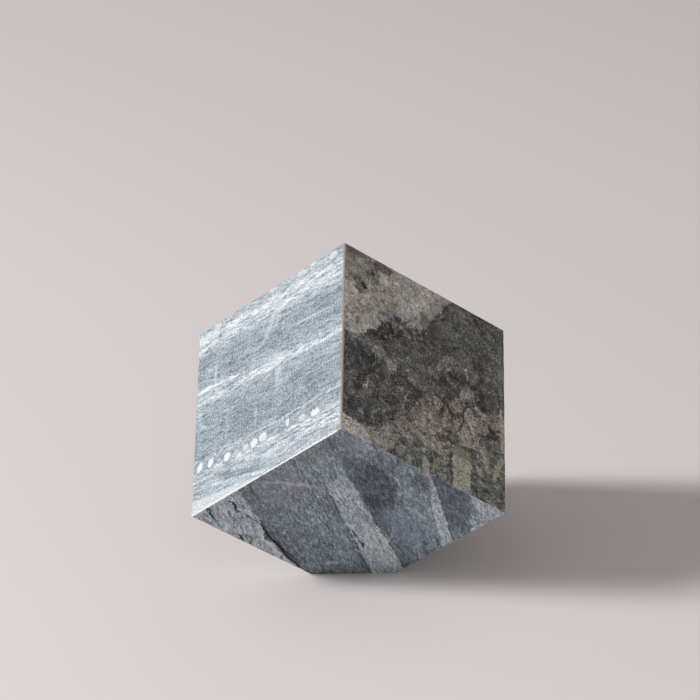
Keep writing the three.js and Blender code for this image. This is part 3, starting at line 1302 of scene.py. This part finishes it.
    def clouded(
        self, stone: Stone, grain: BrokenGrain, along: Field, taupe_height: Field, in_taupe: Field
    ) -> Field:
        """Draws the charcoal stone and its taupe cloud, which is darker along its lower border.

        Args:
            stone: The material that is being drawn.
            grain: What all parts of the stone share.
            along: The distance from the front edge.
            taupe_height: The height over the cloud's lower border.
            in_taupe: 1 in the cloud and 0 outside it.

        Returns:
            The colour.
        """
        colour = stone.over(linear("#595956"), linear("#bdb7ad"), in_taupe)
        colour = stone.strewn(colour, grain.broad, self.lumps, 0.08)
        shaded = stone.between(taupe_height, 11, 0) * in_taupe * stone.between(along, 40, 60)
        shaded = shaded * stone.between(grain.flow + 0.5 * grain.pieces, -0.12, 0.1)
        colour = stone.over(colour, linear("#6f6b65"), shaded * 0.8)
        colour = stone.dappled(colour, (1.7 * grain.pieces + 1.0 * grain.flow) * (1 - 0.5 * in_taupe))
        healed = stone.seams(stone.bent(stone.point, 4, 6, 60), 8, 0.5)
        colour = stone.over(colour, linear("#8f8d87"), healed * stone.between(grain.flow, 0.02, 0.08) * 0.4)
        return stone.over(colour, linear("#2f2c2a"), stone.line(taupe_height + 1.6, 1.6) * 0.5)

    def brown(self, stone: Stone, grain: BrokenGrain) -> Field:
        """Draws the rust-brown stone, with dark and pale dashes of 3 to 4 mm.

        Args:
            stone: The material that is being drawn.
            grain: What all parts of the stone share.

        Returns:
            The colour.
        """
        tone = 0.52 + 1.7 * grain.flow + 0.5 * grain.pieces
        colour = stone.strewn(stone.tinted(tone, self.brown_palette), grain.broad, self.brown_lumps, 0.12)
        dark = stone.needles(grain.broad, 20, (4.0, 1.0), 0.1, 61)
        dark = dark + stone.needles(grain.broad, -50, (3.0, 0.9), 0.09, 62)
        colour = stone.over(colour, linear("#33271f"), dark * 0.75)
        pale = stone.needles(grain.broad, 55, (4.0, 1.0), 0.09, 63)
        return stone.over(colour, linear("#d3ccc3"), pale * 0.5)

    def swirled(
        self, stone: Stone, grain: BrokenGrain, along: Field, brown_depth: Field, colour: Field
    ) -> Field:
        """Draws the border of the rust-brown swirl and the pale ripples that run beside it.

        Args:
            stone: The material that is being drawn.
            grain: What all parts of the stone share.
            along: The distance from the front edge.
            brown_depth: The depth under the swirl's upper border.
            colour: The colour so far.

        Returns:
            The colour.
        """
        colour = stone.over(colour, linear("#4b3a33"), stone.line(brown_depth, 0.8) * 0.5)
        ripple = stone.line(brown_depth + 3.2, 0.5) + stone.line(brown_depth + 5.6, 0.45)
        ripple = ripple + stone.line(brown_depth + 8.4, 0.4)
        ripple = ripple * stone.between(along, 58, 50) * stone.between(grain.flow, -0.1, 0.05)
        return stone.over(colour, linear("#a3a099"), ripple * 0.5)

    def footed(self, stone: Stone, grain: BrokenGrain, in_green: Field, colour: Field) -> Field:
        """Draws the green-grey foot, with an upright slab 14 mm wide and the other clasts.

        Args:
            stone: The material that is being drawn.
            grain: What all parts of the stone share.
            in_green: 1 in the foot and 0 outside it.
            colour: The colour so far.

        Returns:
            The colour.
        """
        green = stone.tinted(0.42 + 2.6 * grain.flow + 0.6 * grain.pieces, self.green_palette)
        colour = stone.over(colour, green, in_green)
        clasts = stone.bent(stone.bent(grain.flat, 7, 5, 49), 2.0, 2.0, 50)
        slab_along, slab_up, _ = clasts.axes()
        slab = stone.between(abs(slab_along - 87), 7.2, 6.4) * stone.between(slab_up, 26.5, 25.5)
        slab_colour = stone.over(linear("#b6b1a4"), linear("#918e7d"), stone.between(slab_up, 19.5, 21.5))
        colour = stone.over(colour, slab_colour, slab * 0.92)
        return stone.strewn(colour, clasts, self.clasts, 0.1)

    def veined(self, stone: Stone, grain: BrokenGrain, along: Field, up: Field, colour: Field) -> Field:
        """Draws the vein, 1.2 mm wide, and dark seams between torn pieces of 7 mm.

        Args:
            stone: The material that is being drawn.
            grain: What all parts of the stone share.
            along: The distance from the front edge.
            up: The height over the lower edge.
            colour: The colour so far.

        Returns:
            The colour.
        """
        off_vein = along - stone.drawn(up, 120, 120, self.vein) + 2.5 * stone.uneven(stone.point, 3, 2.0, 51)
        vein = stone.line(off_vein, 1.2) * stone.between(up, 31, 33) * stone.between(up, 59, 57)
        colour = stone.over(colour, linear("#42302a"), vein * 0.9)
        torn = stone.seams(stone.bent(stone.bent(stone.point, 3, 4, 52), 1.2, 1.5, 53), 7, 0.9)
        return stone.over(colour, linear("#1f1d1c"), torn * stone.between(grain.flow, -0.02, 0.08) * 0.6)

    def crumbled(self, stone: Stone, grain: BrokenGrain, colour: Field) -> Field:
        """Draws crumbs of 1 to 3 mm in the rusty places, and splinters and dark specks of 3 to 4 mm, the
        specks painted shade for small pits that the mesh does not have.

        Args:
            stone: The material that is being drawn.
            grain: What all parts of the stone share.
            colour: The colour so far.

        Returns:
            The colour.
        """
        rusty = stone.lumps(grain.broad, self.rusty, 0.7)
        crumbs = stone.uneven(stone.bent(stone.point, 3.0, 4.0, 59), 3.2, 3.0, 58)
        colour = stone.over(colour, linear("#1d1714"), rusty * stone.between(crumbs, 0.0, 0.03) * 0.9)
        colour = stone.over(colour, linear("#a08a7e"), rusty * stone.between(crumbs, -0.09, -0.12) * 0.85)
        splinters = stone.needles(grain.broad, 65, (4.0, 0.8), 0.03, 54)
        splinters = splinters + stone.needles(grain.broad, -30, (3.6, 0.8), 0.03, 55)
        colour = stone.over(colour, linear("#b8b4aa"), splinters * 0.5)
        # Painted shade: near-black specks that stand for the shade in small pits of the stone.
        hollow_shade = stone.needles(grain.broad, 30, (4.0, 1.1), 0.05, 56)
        hollow_shade = hollow_shade + stone.needles(grain.broad, -60, (3.0, 1.0), 0.03, 57)
        return stone.over(colour, linear("#1b1a19"), hollow_shade * 0.55)


@dataclass(frozen=True)
class MarbleBlock:
    """The block itself: its blank, its weathered shape and its dress. Wear is in millimetres.

    Attributes:
        size: The block's driving sizes.
        materials: The finish of each side.
        cells: How many grid cells cross a face between the eased edges, about 1.25 mm each.
        rim: Closer rows of the grid along each edge, by their distance from it.
        fine_reach: How near a flaw the grid is twice as fine.
        finest_reach: How near a flaw it is four times as fine.
        front_ease: The radius of the front edge.
        left_ease: The radius of the edge between the left and the front under face.
        plain_ease: The radius of the other edges.
        chip_spacing: How far apart the chips are.
        chip_size: The largest chip.
        chip_depth: How deep chips go at most.
        relief: How high the ridges of a fully rough face stand.
        face_relief: The share of that relief on the faces that are not plainly sawn.
        plain_relief: The share of it on a plainly sawn face.
        seed: Places the chips and ridges.
    """

    size: BlockSize
    materials: dict[Side, bpy.types.Material]
    cells: int = 92
    rim: tuple[float, ...] = (0.35, 0.75, 1.2, 1.75, 2.4)
    fine_reach: float = 4.0
    finest_reach: float = 1.6
    front_ease: float = 1.3
    left_ease: float = 1.0
    plain_ease: float = 0.75
    chip_spacing: float = 9.0
    chip_size: float = 2.6
    chip_depth: float = 0.9
    relief: float = 0.16
    face_relief: tuple[tuple[Side, float], ...] = (
        (Side.LEFT, 0.15), (Side.RIGHT, 0.5), (Side.FRONT_UNDER, 1.0),
    )
    plain_relief: float = 0.4
    seed: int = 5

    def stations(self) -> np.ndarray:
        """Spaces the grid lines along an edge, closer together near its ends.

        Returns:
            Their places in metres.
        """
        edge = self.size.edge
        rim = np.array(self.rim) * MM
        middle = np.linspace(rim[-1], edge - rim[-1], self.cells + 1)[1:-1]
        return np.concatenate(([0.0], rim, middle, edge - rim[::-1], [edge]))

    def blank(self) -> bmesh.types.BMesh:
        """Saws the cube as a fine grid and cuts off its lowest corner.

        Returns:
            The blank, in the stone's axes.
        """
        stations = self.stations()
        cells = len(stations) - 1
        grid = bmesh.new()
        bmesh.ops.create_cube(grid, size=cells)
        bmesh.ops.translate(grid, verts=grid.verts, vec=(cells / 2,) * 3)
        bmesh.ops.subdivide_edges(grid, edges=grid.edges[:], cuts=cells - 1, use_grid_fill=True)
        for vert in grid.verts:
            vert.co = [stations[round(value)] for value in vert.co]
        edge = self.size.edge
        cut = bmesh.ops.bisect_plane(
            grid,
            geom=grid.verts[:] + grid.edges[:] + grid.faces[:],
            dist=1e-7,
            plane_co=(edge, edge, self.size.corner_cut),
            plane_no=Side.FOOT.outward,
            clear_outer=True,
        )
        rim = [item for item in cut["geom_cut"] if isinstance(item, bmesh.types.BMEdge)]
        bmesh.ops.contextual_create(grid, geom=rim)
        for item in rim:
            item.smooth = False
        return grid

    def refine(self, grid: bmesh.types.BMesh, flaws: FlawMap, reach: float) -> None:
        """Halves the cells near the flaws.

        Args:
            grid: The blank.
            flaws: The flaws.
            reach: How near a cell's middle is to a flaw, in metres.
        """
        search = flaws.tree()
        edges = set()
        most_corners = 8  # the foot is one large face with more, and it stays whole
        for face in grid.faces:
            if search.find(face.calc_center_median())[2] < reach and len(face.verts) <= most_corners:
                edges.update(face.edges)
        bmesh.ops.subdivide_edges(grid, edges=list(edges), cuts=1, use_grid_fill=True)

    def label(self, grid: bmesh.types.BMesh) -> None:
        """Notes each face's side and place on the map, and each point's edge radius and relief.

        Args:
            grid: The blank.
        """
        grid.normal_update()
        side_layer = grid.faces.layers.int.new("side")
        radius_layer = grid.verts.layers.float.new("radius")
        relief_layer = grid.verts.layers.float.new("relief")
        map_layer = grid.loops.layers.uv.new("OFBake")
        sides = list(Side)
        shares = dict(self.face_relief)
        edge = self.size.edge
        tiles, gap = 3, 0.03  # the map has 3 by 3 tiles, one to a side, with this share left free around
        for face in grid.faces:
            side = max(sides, key=lambda each: each.outward.dot(face.normal))
            face[side_layer] = side.number
            face.smooth = True
            row, column = divmod(side.number, tiles)
            for loop in face.loops:
                across, up = side.spread(loop.vert.co)
                if side is Side.FOOT:
                    across += edge / 2
                loop[map_layer].uv = (
                    (column + gap + (1 - 2 * gap) * across / edge) / tiles,
                    (row + gap + (1 - 2 * gap) * up / edge) / tiles,
                )
            for vert in face.verts:
                vert[relief_layer] = max(vert[relief_layer], shares.get(side, self.plain_relief))
        for vert in grid.verts:
            vert[radius_layer] = self.ease(vert.co)

    def ease(self, place: Vector) -> float:
        """The radius of the worn edge nearest to a place, blended where edges meet.

        Args:
            place: A point of the blank.

        Returns:
            The radius in metres.
        """
        x, y, z = place
        far = self.size.edge
        to_front = math.hypot(x, y)
        to_left = math.hypot(x, z)
        others = min(
            math.hypot(min(a, far - a), min(b, far - b))
            for a, b in ((y, z), (far - x, y), (far - y, x), (far - z, x), (far - z, y), (far - x, far - y))
        )
        total = weight_sum = 0.0
        radii = (self.front_ease, self.left_ease, self.plain_ease)
        for gap, radius in zip((to_front, to_left, others), radii):
            weight = 1 / (gap / MM + 0.5) ** 3
            total += weight * radius
            weight_sum += weight
        return total / weight_sum * MM

    def build(self) -> bpy.types.Object:
        """Makes the finished block: a plain mesh in the frame's place.

        Returns:
            The block's object.
        """
        flaws = FlawMap(FLAWS, self.size.edge)
        grid = self.blank()
        self.refine(grid, flaws, self.fine_reach * MM)
        self.refine(grid, flaws, self.finest_reach * MM)
        self.label(grid)
        mesh = bpy.data.meshes.new("blank")
        grid.to_mesh(mesh)
        grid.free()
        blank = bpy.data.objects.new("blank", mesh)
        bpy.context.scene.collection.objects.link(blank)
        points = flaws.as_object()
        weathering = Weathering(self.materials)
        modifier = blank.modifiers.new("weathering", "NODES")
        modifier.node_group = weathering.tree
        values = {
            "Flaws": points,
            "Edge": self.size.edge,
            "Chip Spacing": self.chip_spacing * MM,
            "Chip Size": self.chip_size * MM,
            "Chip Depth": self.chip_depth * MM,
            "Relief": self.relief * MM,
            "Seed": self.seed,
        }
        for item in weathering.tree.interface.items_tree:
            if item.name in values:
                modifier[item.identifier] = values[item.name]
        evaluated = blank.evaluated_get(bpy.context.evaluated_depsgraph_get())
        stone = bpy.data.meshes.new_from_object(evaluated)
        stone.name = NODE
        stone.transform(self.size.to_frame())
        self.settle(stone)
        block = bpy.data.objects.new("veined_block", stone)
        bpy.context.scene.collection.objects.link(block)
        for helper in (blank, points):
            bpy.data.objects.remove(helper)
        return block

    def settle(self, stone: bpy.types.Mesh) -> None:
        """Flattens the foot onto the ground and keeps the rest above it.

        Args:
            stone: The block's mesh in the frame.
        """
        places = np.empty(len(stone.vertices) * 3)
        stone.vertices.foreach_get("co", places)
        places = places.reshape(-1, 3)
        foot = max(stone.polygons, key=lambda face: len(face.vertices))
        places[list(foot.vertices), 2] = 0.0
        places[:, 2] = np.maximum(places[:, 2], 0.0)
        stone.vertices.foreach_set("co", places.ravel())
        stone.update()


@dataclass(frozen=True)
class Lamp:
    """A square soft light that faces the block.

    Attributes:
        name: The lamp's name.
        place: Where it hangs, in metres.
        size: The length of its side, in metres.
        watts: Its power.
    """

    name: str
    place: tuple[float, float, float]
    size: float
    watts: float

    def hang(self, aim: tuple[float, float, float]) -> None:
        """Puts the lamp in the scene.

        Args:
            aim: The point that it faces, in metres.
        """
        data = bpy.data.lights.new(self.name, "AREA")
        data.size = self.size
        data.energy = self.watts
        light = bpy.data.objects.new(self.name, data)
        light.location = self.place
        light.rotation_euler = (Vector(aim) - Vector(self.place)).to_track_quat("-Z", "Y").to_euler()
        bpy.context.scene.collection.objects.link(light)


@dataclass(frozen=True)
class Studio:
    """The pale ground, the soft light and the camera. Lengths are in metres and angles in degrees.

    Attributes:
        target: The point that the camera looks at.
        distance: How far it stands from that point.
        azimuth: How far it stands to the right of the front.
        elevation: How far above the level it stands.
        roll: How far it is rolled clockwise.
        lens: Its focal length in millimetres.
        sensor: The width of its sensor in millimetres.
        sight: How far it sees.
        lamps: A key light from the left and a weak fill from the front.
        middle: The point that the lamps face.
        floor_reach: Half of the ground's width.
        surround: The strength of the pale surround.
    """

    target: tuple[float, float, float] = (0.0012, 0.0, 0.1263)
    distance: float = 2.0008
    azimuth: float = 2.7025
    elevation: float = 20.1034
    roll: float = 1.655
    lens: float = 189.3
    sensor: float = 36.0
    sight: float = 50.0
    lamps: tuple[Lamp, ...] = (
        Lamp("key", (-3.3, -0.9, 2.1), 0.8, 190.0),
        Lamp("fill", (0.6, -2.2, 1.6), 1.6, 9.0),
    )
    middle: tuple[float, float, float] = (0, 0, 0.09)
    floor_reach: float = 12.0
    surround: float = 0.42

    def ground(self) -> bpy.types.Object:
        """Lays a wide floor of pale warm paper.

        Returns:
            The floor.
        """
        mesh = bpy.data.meshes.new("ground")
        reach = self.floor_reach
        mesh.from_pydata(
            [(-reach, -reach, 0), (reach, -reach, 0), (reach, reach, 0), (-reach, reach, 0)],
            [],
            [(0, 1, 2, 3)],
        )
        # Matt paper: no shine at all, so that only the block's shadow shows on it.
        paper = bpy.data.materials.new("seamless_paper_matt")
        paper.use_nodes = True
        shader = paper.node_tree.nodes["Principled BSDF"]
        shader.inputs["Base Color"].default_value = linear("#d2cac8")
        shader.inputs["Roughness"].default_value = 0.9
        mesh.materials.append(paper)
        floor = bpy.data.objects.new("ground", mesh)
        bpy.context.scene.collection.objects.link(floor)
        return floor

    def light(self) -> None:
        """Hangs the lamps and sets the pale surround."""
        for lamp in self.lamps:
            lamp.hang(self.middle)
        world = bpy.data.worlds.new("surround")
        world.use_nodes = True
        shade = world.node_tree.nodes["Background"]
        shade.inputs["Color"].default_value = linear("#f0eeee")
        shade.inputs["Strength"].default_value = self.surround
        bpy.context.scene.world = world

    def camera(self) -> None:
        """A long lens a little above the block, tilted slightly."""
        data = bpy.data.cameras.new("camera")
        data.lens = self.lens
        data.sensor_width = self.sensor
        data.clip_end = self.sight
        eye = bpy.data.objects.new("camera", data)
        azimuth, elevation = math.radians(self.azimuth), math.radians(self.elevation)
        flat = math.cos(elevation)
        forward = Vector((-math.sin(azimuth) * flat, math.cos(azimuth) * flat, -math.sin(elevation)))
        right = forward.cross(Vector((0, 0, 1))).normalized()
        right = Matrix.Rotation(math.radians(self.roll), 3, forward) @ right
        up = right.cross(forward)
        turn = Matrix((right, up, -forward)).transposed()
        eye.matrix_world = Matrix.Translation(Vector(self.target) - forward * self.distance) @ turn.to_4x4()
        bpy.context.scene.collection.objects.link(eye)
        bpy.context.scene.camera = eye


@dataclass(frozen=True)
class SideDresser:
    """Makes the material of each side from the finishes.

    Attributes:
        size: The block's size.
        banded: The banded marble's group.
        slate: The slate-grey marble's group.
        breccia: The dark breccia's group.
        gloss: The middle of the roughness of honed marble.
        gloss_sway: How far the roughness sways over the face.
        grit_depth: The height of its fine relief, in millimetres.
        ior: That of calcite, taken as one number.
        crack_shade: How much of the stone's colour the painted shade inside a crack or pit hides.
    """

    size: BlockSize
    banded: bpy.types.NodeTree
    slate: bpy.types.NodeTree
    breccia: bpy.types.NodeTree
    gloss: float = 0.55
    gloss_sway: float = 0.3
    grit_depth: float = 0.15
    ior: float = 1.5
    crack_shade: float = 0.95

    def colour(self, stone: Stone, side: Side) -> Field:
        """The bare stone's colour on a side.

        Args:
            stone: The material that is being drawn.
            side: The side.

        Returns:
            The colour, before wear.
        """
        edge = stone.edge
        path = edge - stone.y - stone.x
        if side is Side.LEFT:
            return stone.stuff(self.banded, path, stone.z)
        if side is Side.RIGHT:
            return stone.stuff(self.breccia, stone.x, stone.z)
        if side in (Side.FRONT_UNDER, Side.FOOT):
            return stone.stuff(self.slate, stone.x, stone.y)
        # Each face at the back has two kinds of stone. Their border follows the beds of the upper one,
        # which run through the block as planes, and it wanders over 60 and 16 mm.
        drift = 14 * stone.uneven(stone.point, 16, 4.0, 70) + 60 * stone.uneven(stone.point, 60, 2.0, 71)
        if side is Side.LEFT_UNDER:
            border = stone.z - 0.5 * stone.x
            upper = stone.stuff(self.banded, path, stone.z - 0.5 * stone.x)
            lower = stone.stuff(self.slate, stone.x, edge + 0.3 * stone.z)
        elif side is Side.RIGHT_UNDER:
            border = stone.z - 0.8 * stone.y
            upper = stone.stuff(self.breccia, edge + stone.y, stone.z)
            lower = stone.stuff(self.slate, edge - stone.z, stone.y)
        else:
            border = stone.y - 0.6 * stone.x
            upper = stone.stuff(self.banded, path, edge - 0.5 * stone.x)
            lower = stone.stuff(self.breccia, stone.x, edge + 0.6 * stone.y)
        return stone.over(lower, upper, stone.between(border + drift, -1, 1))

    def material(self, side: Side) -> bpy.types.Material:
        """Dresses a side.

        Args:
            side: The side.

        Returns:
            Its material, wired up.
        """
        # Honed marble: a soft, even satin with no clear reflection. Its fine grit breaks up the sheen.
        material = bpy.data.materials.new(f"{side.name.lower()}_marble_honed")
        material.use_nodes = True
        shader = material.node_tree.nodes["Principled BSDF"]
        stone = Stone(material.node_tree, self.size.edge / MM)
        to_stone = self.size.to_frame().inverted()
        stone.read_at(
            stone.add(
                "ShaderNodeMapping",
                stone.add("ShaderNodeTexCoord", out=3),
                to_stone.translation / MM,
                to_stone.to_euler(),
                (1 / MM,) * 3,
            )
        )
        # Painted shade: each crack and pit is darkened inside, most in its middle.
        dark = stone.between(stone.noted("hollow"), 0.1, 0.6) * self.crack_shade
        colour = stone.over(self.colour(stone, side), linear("#1a1a1d"), dark)
        # Grit of 0.8 mm, twice as coarse as real crystals so that it shows, and hollows of 3 mm.
        grit = stone.uneven(stone.point, 0.8, 2.0, 62) + stone.uneven(stone.point, 3.0, 2.0, 64)
        links = material.node_tree.links
        links.new(stone.worn(colour).socket, shader.inputs["Base Color"])
        roughness = stone.uneven(stone.point, 2.5, 2.0, 63) * self.gloss_sway + self.gloss
        links.new(roughness.socket, shader.inputs["Roughness"])
        bump = stone.add("ShaderNodeBump", 1.0, self.grit_depth * MM, None, grit)
        links.new(bump.socket, shader.inputs["Normal"])
        shader.inputs["IOR"].default_value = self.ior
        return material


def main() -> None:
    """Builds the block and the studio."""
    low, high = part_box(NODE)
    size = BlockSize.from_box(low, high, ARRIS_WIDTH * MM)
    log.info("edge %.2f mm, corner cut %.2f mm", size.edge / MM, size.corner_cut / MM)
    edge = size.edge / MM
    finishes = [finish(edge).group() for finish in (BandedMarble, SlateMarble, DarkBreccia)]
    dresser = SideDresser(size, *finishes)
    materials = {side: dresser.material(side) for side in Side}
    block = MarbleBlock(size, materials).build()
    triangles = sum(len(face.vertices) - 2 for face in block.data.polygons)
    log.info("%s: one piece, %d triangles", block.name, triangles)
    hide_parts(NODE)
    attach(block, "root")
    studio = Studio()
    studio.ground()
    studio.light()
    studio.camera()
    bpy.context.scene.view_settings.view_transform = "Standard"


if __name__ == "__main__":
    logging.basicConfig(level=logging.INFO)
    main()
